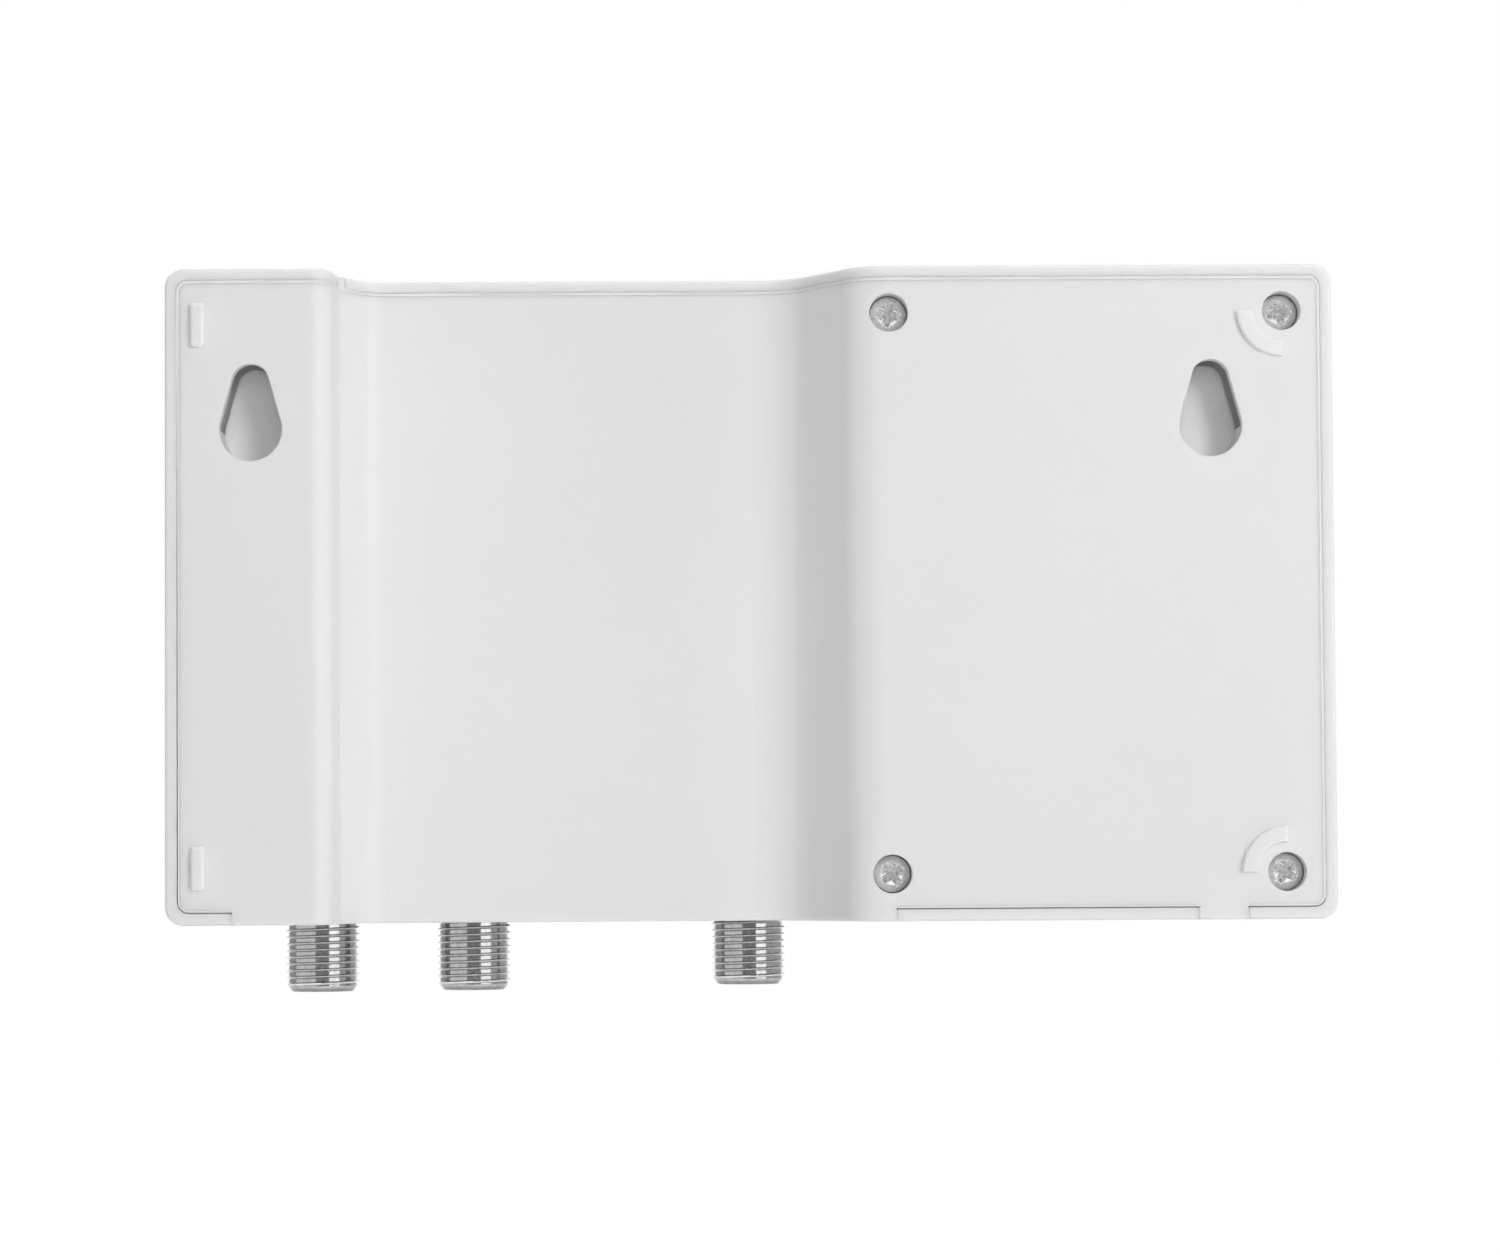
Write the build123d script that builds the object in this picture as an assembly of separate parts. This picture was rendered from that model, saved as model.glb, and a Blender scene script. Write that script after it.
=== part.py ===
from build123d import *
import os
from math import atan2, cos, sin, tan

# Television signal amplifier in a two-part moulded case that hangs on a wall.
# Millimetres. X runs to the right as seen from behind, Y from the wall towards
# the front of the case, Z up. The origin is on the wall, midway between the
# narrow ends of the two keyholes, where the wall screws carry the case.

# Case outline
keyhole_spacing = 120.0
keyhole_to_left_edge = 10.7
keyhole_to_right_edge = 15.3
keyhole_to_top_edge = 14.3
body_height = 82.0
corner_radius = 2.3

# Depth of the case, layer by layer from the wall
pad_height = 1.0
wave_depth = 13.8
valley_to_axis = 11.2
axis_to_front = 11.5
front_crown = 1.2

# Walls, seams and edges
rim_wall = 1.5
case_wall = 2.4
front_wall = 2.0
cover_thickness = 2.0
seam_gap = 0.15
rim_rounding = 0.45
cover_rounding = 0.25
cover_corner_radius = 1.3
inner_corner_radius = 1.0
front_rounding_share = 0.85
along_depth_share = 0.85
overrun = 1.0

# Wave across the back: left block, step, crease, ramp, valley, slope, right block
left_block_width = 20.45
step_rounding = 2.4
step_run = 0.75
step_depth = 7.5
crease_rounding = 0.4
ramp_run = 3.35
ramp_foot_rounding = 3.1
right_block_width = 59.3
slope_run = 8.8
slope_foot_rounding = 8.0
slope_top_rounding = 5.5
inner_step_rounding = 0.5

# Notch in the front shell's top rim, beside the crease
notch_left_offset = 0.5
notch_right_offset = 0.6
notch_depth = 5.5

# Keyholes with their wells
keyhole_low_radius = 3.93
keyhole_high_radius = 2.35
keyhole_drop = 5.87
keyhole_depth = 7.5
well_wall = 1.5

# Wall pads moulded on the cover
bar_width = 1.75
bar_length = 5.5
bar_to_left_edge = 4.15
bar_to_end = 7.1
bar_corner = 0.5
arc_inner_radius = 3.7
arc_outer_radius = 5.7
pad_rounding = 0.4

# Case screws, their bosses in the cover and their posts in the front shell
screw_to_right_edge = 6.3
screw_to_slope = 3.8
screw_to_end = 5.9
counterbore_radius = 2.42
counterbore_depth = 4.0
boss_floor = 2.0
boss_wall = 1.4
post_radius = 3.0
screw_head_radius = 2.2
screw_head_height = 1.8
screw_core_radius = 1.2
screw_length = 10.0
screw_tip = 1.2
thread_clearance = 0.05
hole_clearance = 0.35
recess_radius = 1.5
recess_slot = 0.6
recess_depth = 1.1

# Snap hooks on the cover's left edge
hook_count = 3
hook_pitch = 21.0
hook_length = 10.4
hook_reach = 5.0
hook_thickness = 1.2
hook_clearance = 0.1
hook_barb = 0.5
hook_barb_height = 1.0
hook_end_clearance = 0.8

# Locating ribs under the cover
rib_thickness = 1.2
rib_depth = 2.5
rib_clearance = 0.15
rib_to_corner = 9.0

# Threaded connectors
connector_radius = 4.7625
first_connector_to_left_edge = 17.5
connector_spacing = 19.6
last_connector_to_slope = 5.2
connector_reaches = (8.9, 8.8, 8.3)
connector_chamfer = 0.6
connector_neck_radius = 4.4
connector_neck_reach = 0.2
connector_hole_clearance = 0.2
flange_flats = 11.0
flange_sides = 6
flange_thickness = 2.0
flange_clearance = 0.1
insulator_radius = 3.2
insulator_recess = 0.4
insulator_front_hole_radius = 0.6
insulator_front_thickness = 1.5
contact_radius = 0.95
contact_bore_radius = 0.5
contact_bore_depth = 6.0
contact_tail_radius = 0.4
contact_tail_length = 4.0
leg_width = 1.2
leg_length = 3.5
leg_offset = 3.6
fit_clearance = 0.02

# Wide apron of the cover that closes the case round the connectors
apron_left_margin = 9.35
apron_right_margin = 18.4

# Power inlet socket
jack_to_right_edge = 14.3
jack_hole_radius = 3.2
jack_axis_height = 6.5
jack_width = 8.8
jack_height = 10.6
jack_length = 13.5
jack_bore_length = 9.5
jack_pin_radius = 1.0
jack_pin_recess = 2.0
jack_pin_collar_radius = 1.6
jack_contact_width = 3.0
jack_contact_thickness = 0.4
jack_contact_length = 3.4
jack_contact_positions_shares = (0.45, 0.92)

# Circuit board
board_thickness = 1.6
board_margin = 0.8
post_clearance = 0.5
board_edge_gap = 0.1
board_screw_inset = 4.5
lower_board_screw_offset = 12.0
standoff_radius = 2.6
board_hole_radius = 1.5
board_screw_head_radius = 2.2
board_screw_head_height = 1.4
board_screw_core_radius = 0.95
board_screw_length = 7.0

# Shield over the radio-frequency section
shield_left_offset = 3.8
shield_right_offset = 5.0
shield_to_board_edge = 6.0
shield_wall = 0.4
shield_lid_thickness = 0.3
shield_headroom = 1.4
shield_partition_share = 0.58
shield_tab_width = 3.0
shield_tab_depth = 1.0
shield_tab_shares = (0.12, 0.88)

# Parts inside the shield; places are shares of its width and height
chip_width = 5.0
chip_height = 4.0
chip_thickness = 1.6
chip_place_shares = ((0.30, 0.42), (0.78, 0.30))
chip_leg_count = 4
chip_leg_width = 0.4
chip_leg_reach = 0.8
chip_leg_thickness = 0.25
chip_leg_pitch = 0.95
core_width = 6.0
core_height = 4.5
core_thickness = 3.4
core_hole_radius = 0.7
core_hole_share = 0.25
core_place_shares = ((0.76, 0.62), (0.76, 0.82))
coil_radius = 1.9
coil_wire_radius = 0.35
coil_turns = 4
coil_place_shares = ((0.14, 0.20), (0.14, 0.42), (0.14, 0.64), (0.36, 0.80))
chip_part_length = 2.0
chip_part_width = 1.25
chip_part_thickness = 0.8
chip_part_place_shares = (
    (0.22, 0.20), (0.30, 0.20), (0.38, 0.20), (0.46, 0.34), (0.46, 0.50),
    (0.22, 0.60), (0.30, 0.64), (0.64, 0.16), (0.90, 0.44), (0.64, 0.46),
)

# Power section, right of the shield; places are shares of its width and of the board's height
capacitor_radius = 4.0
capacitor_length = 12.0
capacitor_rounding = 0.5
capacitor_groove_depth = 0.35
capacitor_groove_height = 1.2
capacitor_groove_share = 0.16
capacitor_place_shares = ((0.25, 0.28), (0.50, 0.28))
inductor_ring_radius = 4.6
inductor_wire_radius = 1.9
inductor_place_share = (0.28, 0.74)
regulator_width = 10.0
regulator_thickness = 4.4
regulator_body_height = 9.0
regulator_tab_height = 6.0
regulator_tab_thickness = 1.3
regulator_leg_height = 3.0
regulator_leg_width = 0.8
regulator_leg_thickness = 0.5
regulator_leg_pitch = 2.54
regulator_hole_radius = 1.8
regulator_place_share = (0.60, 0.56)
diode_radius = 1.3
diode_length = 5.0
diode_lead_radius = 0.4
diode_lead_length = 2.6
diode_place_share = (0.825, 0.62)

# Power light
led_place_share = (0.75, 0.42)
led_width = 3.0
led_height = 1.6
led_thickness = 1.2
light_pipe_radius = 1.5
light_pipe_collar_radius = 2.3
light_pipe_collar_thickness = 1.0
light_pipe_proud = 0.3
light_pipe_dome = 0.4
light_pipe_led_gap = 0.3

# Stiffening ribs inside the front shell
front_rib_height = 3.0
front_rib_thickness = 1.2
front_rib_place_shares = (0.22, 0.45, 0.68)

# Case edges and layers that follow from the sizes above
left_x = -keyhole_spacing / 2 - keyhole_to_left_edge
right_x = keyhole_spacing / 2 + keyhole_to_right_edge
top_z = keyhole_to_top_edge
bottom_z = top_z - body_height
mid_x = (left_x + right_x) / 2
mid_z = (top_z + bottom_z) / 2
body_width = right_x - left_x
raised_y = pad_height
valley_y = raised_y + wave_depth
axis_y = valley_y + valley_to_axis
front_y = axis_y + axis_to_front
inner_front_y = front_y - front_wall
cover_inset = rim_wall + seam_gap

# Places that several pieces share
step_x = left_x + left_block_width
crease_x = step_x + step_run
crease_y = raised_y + step_depth
ramp_foot_x = crease_x + ramp_run
slope_top_x = right_x - right_block_width
slope_foot_x = slope_top_x - slope_run

keyhole_xs = (-keyhole_spacing / 2, keyhole_spacing / 2)
keyhole_floor_y = raised_y + keyhole_depth

screw_right_x = right_x - screw_to_right_edge
screw_left_x = slope_top_x + screw_to_slope
screw_high_z = top_z - screw_to_end
screw_low_z = bottom_z + screw_to_end
screw_places = [(x, z) for x in (screw_left_x, screw_right_x) for z in (screw_high_z, screw_low_z)]
screw_seat_y = raised_y + counterbore_depth
boss_end_y = screw_seat_y + boss_floor
boss_radius = counterbore_radius + boss_wall

first_connector_x = left_x + first_connector_to_left_edge
connector_xs = (first_connector_x, first_connector_x + connector_spacing, slope_foot_x - last_connector_to_slope)
apron_left_x = connector_xs[0] - apron_left_margin
apron_right_x = connector_xs[-1] + apron_right_margin
inner_bottom_z = bottom_z + case_wall
flange_low_z = inner_bottom_z + flange_clearance
flange_high_z = flange_low_z + flange_thickness

board_rear_y = axis_y + contact_tail_radius
board_front_y = board_rear_y + board_thickness
board_left_x = left_x + case_wall + board_margin
board_right_x = screw_right_x - post_radius - post_clearance
board_bottom_z = flange_high_z + board_edge_gap
board_top_z = screw_high_z - post_radius - post_clearance
board_width = board_right_x - board_left_x
board_height = board_top_z - board_bottom_z
board_screw_places = [
    (board_left_x + board_screw_inset, board_top_z - board_screw_inset),
    (board_right_x - board_screw_inset, board_top_z - board_screw_inset),
    (board_left_x + board_screw_inset, board_bottom_z + board_screw_inset),
    (screw_left_x + lower_board_screw_offset, board_bottom_z + board_screw_inset),
]

jack_x = right_x - jack_to_right_edge
jack_y = board_rear_y - jack_axis_height
jack_mouth_z = inner_bottom_z + flange_clearance

hook_zs = [mid_z + (index - (hook_count - 1) / 2) * hook_pitch for index in range(hook_count)]
hook_end_y = raised_y + cover_thickness + hook_reach

shield_left_x = crease_x - shield_left_offset
shield_right_x = slope_foot_x + shield_right_offset
shield_low_z = board_bottom_z + shield_to_board_edge
shield_high_z = board_top_z - shield_to_board_edge
shield_lid_y = valley_y + cover_thickness + shield_headroom
shield_top_y = shield_lid_y + shield_lid_thickness
shield_width = shield_right_x - shield_left_x
shield_height = shield_high_z - shield_low_z


def at_depth(depth):
    """Sketch plane parallel to the wall and the given distance in front of it."""
    return Plane.XZ.offset(-depth)


def block(outline, near, far):
    """Solid with a flat outline drawn as seen from behind, between two depths."""
    return extrude(at_depth(far) * outline, amount=far - near)


def box_between(x_low, x_high, y_low, y_high, z_low, z_high):
    """Rectangular solid between two corners."""
    outline = Pos((x_low + x_high) / 2, (z_low + z_high) / 2) * Rectangle(x_high - x_low, z_high - z_low)
    return block(outline, y_low, y_high)


def rod_between(x, z, radius, y_low, y_high):
    """Round rod that points at the wall."""
    return block(Pos(x, z) * Circle(radius), y_low, y_high)


def case_plan(inset, radius):
    """Rounded outline of the case as seen from behind, drawn in by an inset."""
    size = (body_width - 2 * inset, body_height - 2 * inset)
    return Pos(mid_x, mid_z) * RectangleRounded(*size, radius)


def wave_line():
    """The back of the case from left to right: raised blocks at both ends and a valley between."""
    points = [
        (left_x - overrun, raised_y),
        (step_x, raised_y),
        (crease_x, crease_y),
        (ramp_foot_x, valley_y),
        (slope_foot_x, valley_y),
        (slope_top_x, raised_y),
        (right_x + overrun, raised_y),
    ]
    radii = [
        step_rounding, crease_rounding, ramp_foot_rounding, slope_foot_rounding, slope_top_rounding,
    ]
    return FilletPolyline(*points, radius=radii), points


def under_line(depth):
    """The underside of the cover, one cover thickness in from the wave, or deeper by an extra depth."""
    step_angle = atan2(step_depth, step_run)
    ramp_angle = atan2(wave_depth - step_depth, ramp_run)
    slope_angle = atan2(wave_depth, slope_run)
    half_turn = (step_angle - ramp_angle) / 2
    crease_angle = (step_angle + ramp_angle) / 2
    crease_shift = cover_thickness / cos(half_turn)
    slope_shift = cover_thickness * tan(slope_angle / 2)
    high = raised_y + cover_thickness + depth
    low = valley_y + cover_thickness + depth
    points = [
        (left_x - overrun, high),
        (step_x - cover_thickness * tan(step_angle / 2), high),
        (crease_x - crease_shift * sin(crease_angle), crease_y + crease_shift * cos(crease_angle) + depth),
        (ramp_foot_x - cover_thickness * tan(ramp_angle / 2), low),
        (slope_foot_x + slope_shift, low),
        (slope_top_x + slope_shift, high),
        (right_x + overrun, high),
    ]
    radii = [
        inner_step_rounding, inner_step_rounding, ramp_foot_rounding + cover_thickness,
        slope_foot_rounding + cover_thickness, slope_top_rounding - cover_thickness,
    ]
    return FilletPolyline(*points, radius=radii), points


def side_section(line, points, far_line):
    """Solid across the full height of the case, between a line on its back and a line nearer its front."""
    far_start = far_line @ 0
    far_end = far_line @ 1
    ends = Line(points[-1], (far_end.X, far_end.Y)) + Line((far_start.X, far_start.Y), points[0])
    section = make_face(line + far_line + ends)
    prism = extrude(section, amount=body_height + 2 * overrun)
    return Pos(0, 0, bottom_z - overrun) * prism


def crowned_line(depth):
    """Shallow arc across the front of the case at a depth."""
    start = (left_x - overrun, depth - front_crown)
    end = (right_x + overrun, depth - front_crown)
    return ThreePointArc(start, (mid_x, depth), end)


def crowned_depth(x, depth):
    """Depth of a crowned face at a place across the case, from its depth at the middle."""
    share = (x - mid_x) / (body_width / 2 + overrun)
    return depth - front_crown * share ** 2


def flat_line(depth):
    """Straight line across the case at a depth."""
    return Line((left_x - overrun, depth), (right_x + overrun, depth))


def outer_body():
    """The whole case as one closed form: wave behind, crowned front, rounded edges."""
    wave, points = wave_line()
    form = side_section(wave, points, crowned_line(front_y))
    form = form & block(case_plan(0, corner_radius), -overrun, front_y + overrun)
    front_edges = [edge for edge in form.edges() if edge.center().Y > front_y - front_crown - overrun]
    form = fillet(front_edges, corner_radius * front_rounding_share)
    rear_edges = form.edges().filter_by(lambda edge: is_rear_rim(edge))
    return fillet(rear_edges, rim_rounding)


def is_rear_rim(edge):
    """True for the edges where the wave meets the side walls."""
    middle = edge.position_at(1 / 2)
    near_side = min(
        abs(middle.X - left_x), abs(middle.X - right_x), abs(middle.Z - top_z), abs(middle.Z - bottom_z)
    )
    at_back = middle.Y < valley_y + seam_gap
    along_depth = abs((edge % (1 / 2)).Y) > along_depth_share
    straight = edge.geom_type == GeomType.LINE
    vertical_corner = straight and along_depth and edge.length > wave_depth
    return at_back and near_side < corner_radius and not vertical_corner


def keyhole_outline():
    """Teardrop: a wide round hole for the screw's head below a narrow one for its shank."""
    low = Pos(0, -keyhole_drop) * Circle(keyhole_low_radius)
    high = Circle(keyhole_high_radius)
    return make_hull(low.edges() + high.edges())


def keyhole_well(x):
    """Half-round wall below the wide end of a keyhole, and the floor that closes it."""
    outer = Pos(0, -keyhole_drop) * Circle(keyhole_low_radius + well_wall)
    inner = Pos(0, -keyhole_drop) * Circle(keyhole_low_radius)
    span = 2 * (keyhole_low_radius + well_wall)
    lower_half = Pos(0, -keyhole_drop - span / 2) * Rectangle(span, span)
    under_plate_y = raised_y + cover_thickness / 2
    wall = block((outer - inner) & lower_half, under_plate_y, keyhole_floor_y + well_wall)
    floor_outline = keyhole_outline() + (outer & lower_half)
    floor = block(floor_outline, keyhole_floor_y, keyhole_floor_y + well_wall)
    return Pos(x, 0, 0) * (wall + floor)


def wall_pads():
    """Two bars at the left corners and two quarter rings round the right screws, all flush with the wall."""
    bar = RectangleRounded(bar_width, bar_length, bar_corner)
    ring = Circle(arc_outer_radius) - Circle(arc_inner_radius)
    quarter_centre = -arc_outer_radius / 2
    quarter = Pos(quarter_centre, quarter_centre) * Rectangle(arc_outer_radius, arc_outer_radius)
    high_ring = ring & quarter
    low_ring = ring & mirror(quarter, about=Plane.XZ)
    bar_x = left_x + bar_to_left_edge
    outlines = [
        Pos(bar_x, top_z - bar_to_end) * bar,
        Pos(bar_x, bottom_z + bar_to_end) * bar,
        Pos(screw_right_x, screw_high_z) * high_ring,
        Pos(screw_right_x, screw_low_z) * low_ring,
    ]
    pads = []
    for outline in outlines:
        pad = block(outline, 0, raised_y + cover_thickness / 2)
        pads.append(fillet(pad.faces().sort_by(Axis.Y)[0].edges(), pad_rounding))
    return pads


def cover_hooks():
    """Spring tongues with outward barbs that snap under the front shell's left rim."""
    outer_x = left_x + rim_wall + hook_clearance + seam_gap
    inner_x = outer_x + hook_thickness
    barb_y = hook_end_y - hook_barb_height
    profile = Polyline(
        (outer_x, raised_y + cover_thickness / 2),
        (outer_x, barb_y),
        (outer_x - hook_barb, barb_y + hook_barb_height / 2),
        (outer_x, hook_end_y),
        (inner_x, hook_end_y),
        (inner_x, raised_y + cover_thickness / 2),
        close=True,
    )
    tongue = extrude(make_face(profile), amount=hook_length)
    return [Pos(0, 0, z - hook_length / 2) * tongue for z in hook_zs]


def rib_band():
    """Layer directly under the cover in which its locating ribs stand."""
    line, points = under_line(-cover_thickness / 2)
    deep_line, deep_points = under_line(rib_depth)
    beyond = flat_line(front_y)
    return side_section(line, points, beyond) - side_section(deep_line, deep_points, beyond)


def locating_ribs():
    """Ribs under the cover that centre it against the front shell's top and right walls."""
    band = rib_band()
    z_high = top_z - case_wall - rib_clearance
    x_high = right_x - case_wall - rib_clearance
    far = valley_y + cover_thickness + rib_depth + overrun
    top_rib = box_between(
        left_x + rib_to_corner, right_x - rib_to_corner, 0, far, z_high - rib_thickness, z_high
    )
    right_rib = box_between(
        x_high - rib_thickness, x_high, 0, far, bottom_z + rib_to_corner, top_z - rib_to_corner
    )
    return (band & top_rib) + (band & right_rib)


def apron_box(growth):
    """Strip of the bottom wall that belongs to the cover, from the back to the connectors' axis."""
    return box_between(
        apron_left_x + seam_gap - growth, apron_right_x - seam_gap + growth,
        -overrun, axis_y - seam_gap / 2 + growth / 2, bottom_z - overrun, inner_bottom_z + growth,
    )


def tab_box(growth):
    """Narrow strip of the bottom wall above the power inlet, which also belongs to the cover."""
    half = jack_hole_radius - seam_gap
    return box_between(
        jack_x - half - growth, jack_x + half + growth,
        -overrun, jack_y - seam_gap / 2 + growth / 2, bottom_z - overrun, inner_bottom_z + growth,
    )


def bottom_holes():
    """Holes through the bottom wall for the three connectors and for the power plug."""
    length = case_wall + 2 * overrun
    holes = [
        Pos(x, axis_y, bottom_z - overrun) * extrude(
            Circle(connector_radius + connector_hole_clearance), amount=length
        )
        for x in connector_xs
    ]
    holes.append(Pos(jack_x, jack_y, bottom_z - overrun) * extrude(Circle(jack_hole_radius), amount=length))
    return holes


def make_rear_cover(body):
    """Wave-shaped cover with its apron, keyhole wells, screw bosses, pads, hooks and ribs."""
    wave, points = wave_line()
    under, _ = under_line(0)
    plate = side_section(wave, points, under)
    plate = plate & block(case_plan(cover_inset, cover_corner_radius), -overrun, axis_y)
    rear_edges = plate.edges().filter_by(lambda edge: is_plate_edge(edge))
    plate = fillet(rear_edges, cover_rounding)
    cover = plate + (body & apron_box(0)) + (body & tab_box(0))
    for x in keyhole_xs:
        opening = block(Pos(x, 0) * keyhole_outline(), -overrun, raised_y + cover_thickness + overrun)
        cover = cover - opening + keyhole_well(x)
    inside_walls = block(case_plan(case_wall + rib_clearance, inner_corner_radius), raised_y, front_y)
    for x, z in screw_places:
        boss = rod_between(x, z, boss_radius, raised_y + cover_thickness / 2, boss_end_y)
        cover = cover + (boss & inside_walls)
    for piece in wall_pads() + cover_hooks():
        cover = cover + piece
    cover = cover + locating_ribs()
    for x, z in screw_places:
        cover = cover - rod_between(x, z, counterbore_radius, -overrun, screw_seat_y)
        cover = cover - rod_between(x, z, screw_core_radius + hole_clearance, -overrun, boss_end_y + overrun)
    for hole in bottom_holes():
        cover = cover - hole
    return cover & block(case_plan(0, corner_radius), 0, front_y)


def is_plate_edge(edge):
    """True for the edges round the outside of the cover's rear face."""
    middle = edge.position_at(1 / 2)
    wave_side = middle.Y < valley_y + cover_rounding
    near_side = min(
        abs(middle.X - left_x - cover_inset), abs(middle.X - right_x + cover_inset),
        abs(middle.Z - top_z + cover_inset), abs(middle.Z - bottom_z - cover_inset),
    )
    tangent = edge % (1 / 2)
    rear_line_y = raised_y if middle.X < step_x or middle.X > slope_top_x else middle.Y
    on_rear_face = abs(middle.Y - rear_line_y) < cover_rounding
    through_plate = abs(tangent.Y) > along_depth_share and edge.length > cover_thickness - cover_rounding
    return wave_side and near_side < cover_corner_radius and on_rear_face and not through_plate


def post_solids():
    """Posts that carry the case screws and the circuit board, each on the front wall."""
    posts = []
    for x, z in screw_places:
        end_y = crowned_depth(x, inner_front_y) + front_wall / 2
        posts.append(rod_between(x, z, post_radius, boss_end_y, end_y))
    for x, z in board_screw_places:
        end_y = crowned_depth(x, inner_front_y) + front_wall / 2
        posts.append(rod_between(x, z, standoff_radius, board_front_y, end_y))
    return posts


def front_ribs():
    """Low stiffening ribs that run up the inside of the front wall."""
    low = inner_front_y - front_crown - front_rib_height
    return [
        box_between(
            board_left_x + share * board_width - front_rib_thickness / 2,
            board_left_x + share * board_width + front_rib_thickness / 2,
            low, inner_front_y, bottom_z + case_wall / 2, top_z - case_wall / 2,
        )
        for share in front_rib_place_shares
    ]


def rim_notch():
    """Notch through the top rim beside the crease, with a sloping floor that is deepest at its left."""
    left = crease_x - notch_left_offset
    right = crease_x + notch_right_offset
    ramp_rise = (wave_depth - step_depth) / ramp_run
    outline = Polyline(
        (left, crease_y - notch_right_offset * ramp_rise), (right, crease_y - notch_right_offset * ramp_rise),
        (right, crease_y + notch_right_offset * ramp_rise), (left, crease_y + notch_depth), close=True,
    )
    notch = extrude(make_face(outline), amount=cover_inset + overrun)
    return Pos(0, 0, top_z - cover_inset) * notch


def hook_windows():
    """Gaps in the ledge that let the hooks through, and the pockets behind the rim that hold the barbs."""
    outer_x = left_x + rim_wall
    cuts = []
    for z in hook_zs:
        low = z - hook_length / 2 - hook_clearance
        high = z + hook_length / 2 + hook_clearance
        window = box_between(
            outer_x, outer_x + case_wall, raised_y + cover_thickness - seam_gap,
            hook_end_y + hook_end_clearance, low, high,
        )
        pocket = box_between(
            outer_x - hook_barb, outer_x + case_wall,
            hook_end_y - hook_barb_height - hook_clearance, hook_end_y + hook_end_clearance, low, high,
        )
        cuts.append(window + pocket)
    return cuts


def make_front_shell(body):
    """Deep tray: rim, ledge for the cover, posts, ribs, and slots in its bottom wall."""
    front_arc = crowned_line(inner_front_y)
    back = flat_line(-overrun)
    back_points = [(left_x - overrun, -overrun), (right_x + overrun, -overrun)]
    inside = side_section(back, back_points, front_arc)
    inside = inside & block(case_plan(case_wall, inner_corner_radius), -overrun, front_y)
    under, _ = under_line(0)
    seat = side_section(back, back_points, under)
    seat = seat & block(case_plan(rim_wall, cover_corner_radius + seam_gap), -overrun, axis_y)
    ribs = [rib & inside for rib in front_ribs()]
    shell = body - inside - seat
    for piece in ribs + post_solids():
        shell = shell + piece
    shell = shell - apron_box(seam_gap) - tab_box(seam_gap)
    for cut in bottom_holes() + hook_windows() + [rim_notch()]:
        shell = shell - cut
    pilot_radius = screw_core_radius + thread_clearance
    pilot_end_y = screw_seat_y + screw_length + overrun
    for x, z in screw_places:
        shell = shell - rod_between(x, z, pilot_radius, boss_end_y - overrun, pilot_end_y)
    board_pilot_radius = board_screw_core_radius + thread_clearance
    board_pilot_end_y = board_rear_y + board_screw_length + screw_tip / 2
    for x, z in board_screw_places:
        shell = shell - rod_between(x, z, board_pilot_radius, board_front_y - overrun, board_pilot_end_y)
    light_x, light_z = in_power_section(*led_place_share)
    hole = rod_between(light_x, light_z, light_pipe_radius + fit_clearance, board_front_y, front_y + overrun)
    return shell - hole - jack_envelope(post_clearance)


def screw_solid(head_radius, head_height, core_radius, length, tip):
    """Pan-head screw whose head sits behind Y = 0 and whose shank points forward, with a cross recess."""
    profile = Polyline(
        (0, -head_height), (head_radius / 2, -head_height), (head_radius, -head_height / 2),
        (head_radius, 0), (core_radius, 0), (core_radius, length - tip), (0, length), close=True,
    )
    body = revolve(make_face(profile), axis=Axis.Y)
    slot_span = head_radius * recess_radius / screw_head_radius
    slot = Rectangle(2 * slot_span, recess_slot) + Rectangle(recess_slot, 2 * slot_span)
    return body - block(slot, -head_height - overrun, -head_height + recess_depth)


def make_case_screws():
    """The four screws that draw the cover to the front shell."""
    screw = screw_solid(screw_head_radius, screw_head_height, screw_core_radius, screw_length, screw_tip)
    return Compound(children=[Pos(x, screw_seat_y, z) * screw for x, z in screw_places])


def make_board_screws():
    """The four small screws that hold the circuit board on its standoffs."""
    screw = screw_solid(
        board_screw_head_radius, board_screw_head_height, board_screw_core_radius, board_screw_length,
        screw_tip,
    )
    return Compound(children=[Pos(x, board_rear_y, z) * screw for x, z in board_screw_places])


def make_connector(x, reach):
    """Threaded barrel with a neck in the wall, a hexagonal flange inside and four legs that grip the board."""
    tip_z = bottom_z - reach
    barrel = Pos(0, 0, tip_z) * extrude(Circle(connector_radius), amount=flange_high_z - tip_z)
    barrel = chamfer(barrel.edges().sort_by(Axis.Z)[0], connector_chamfer)
    neck_ring = Circle(connector_radius + overrun) - Circle(connector_neck_radius)
    neck_low_z = bottom_z - connector_neck_reach
    barrel = barrel - Pos(0, 0, neck_low_z) * extrude(neck_ring, amount=flange_high_z - neck_low_z)
    flange = Pos(0, 0, flange_low_z) * extrude(
        RegularPolygon(flange_flats / 2, flange_sides, major_radius=False), amount=flange_thickness
    )
    body = barrel + flange
    rear_leg_y = board_rear_y - axis_y - leg_width / 2
    front_leg_y = board_front_y - axis_y + leg_width / 2
    for side in (-1, 1):
        for leg_y in (rear_leg_y, front_leg_y):
            leg = extrude(Rectangle(leg_width, leg_width), amount=leg_length + flange_thickness / 2)
            body = body + Pos(side * leg_offset, leg_y, flange_high_z - flange_thickness / 2) * leg
    bore_length = flange_high_z - tip_z + overrun
    bore = Pos(0, 0, tip_z - overrun) * extrude(Circle(insulator_radius), amount=bore_length)
    return Pos(x, axis_y, 0) * (body - bore)


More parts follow.
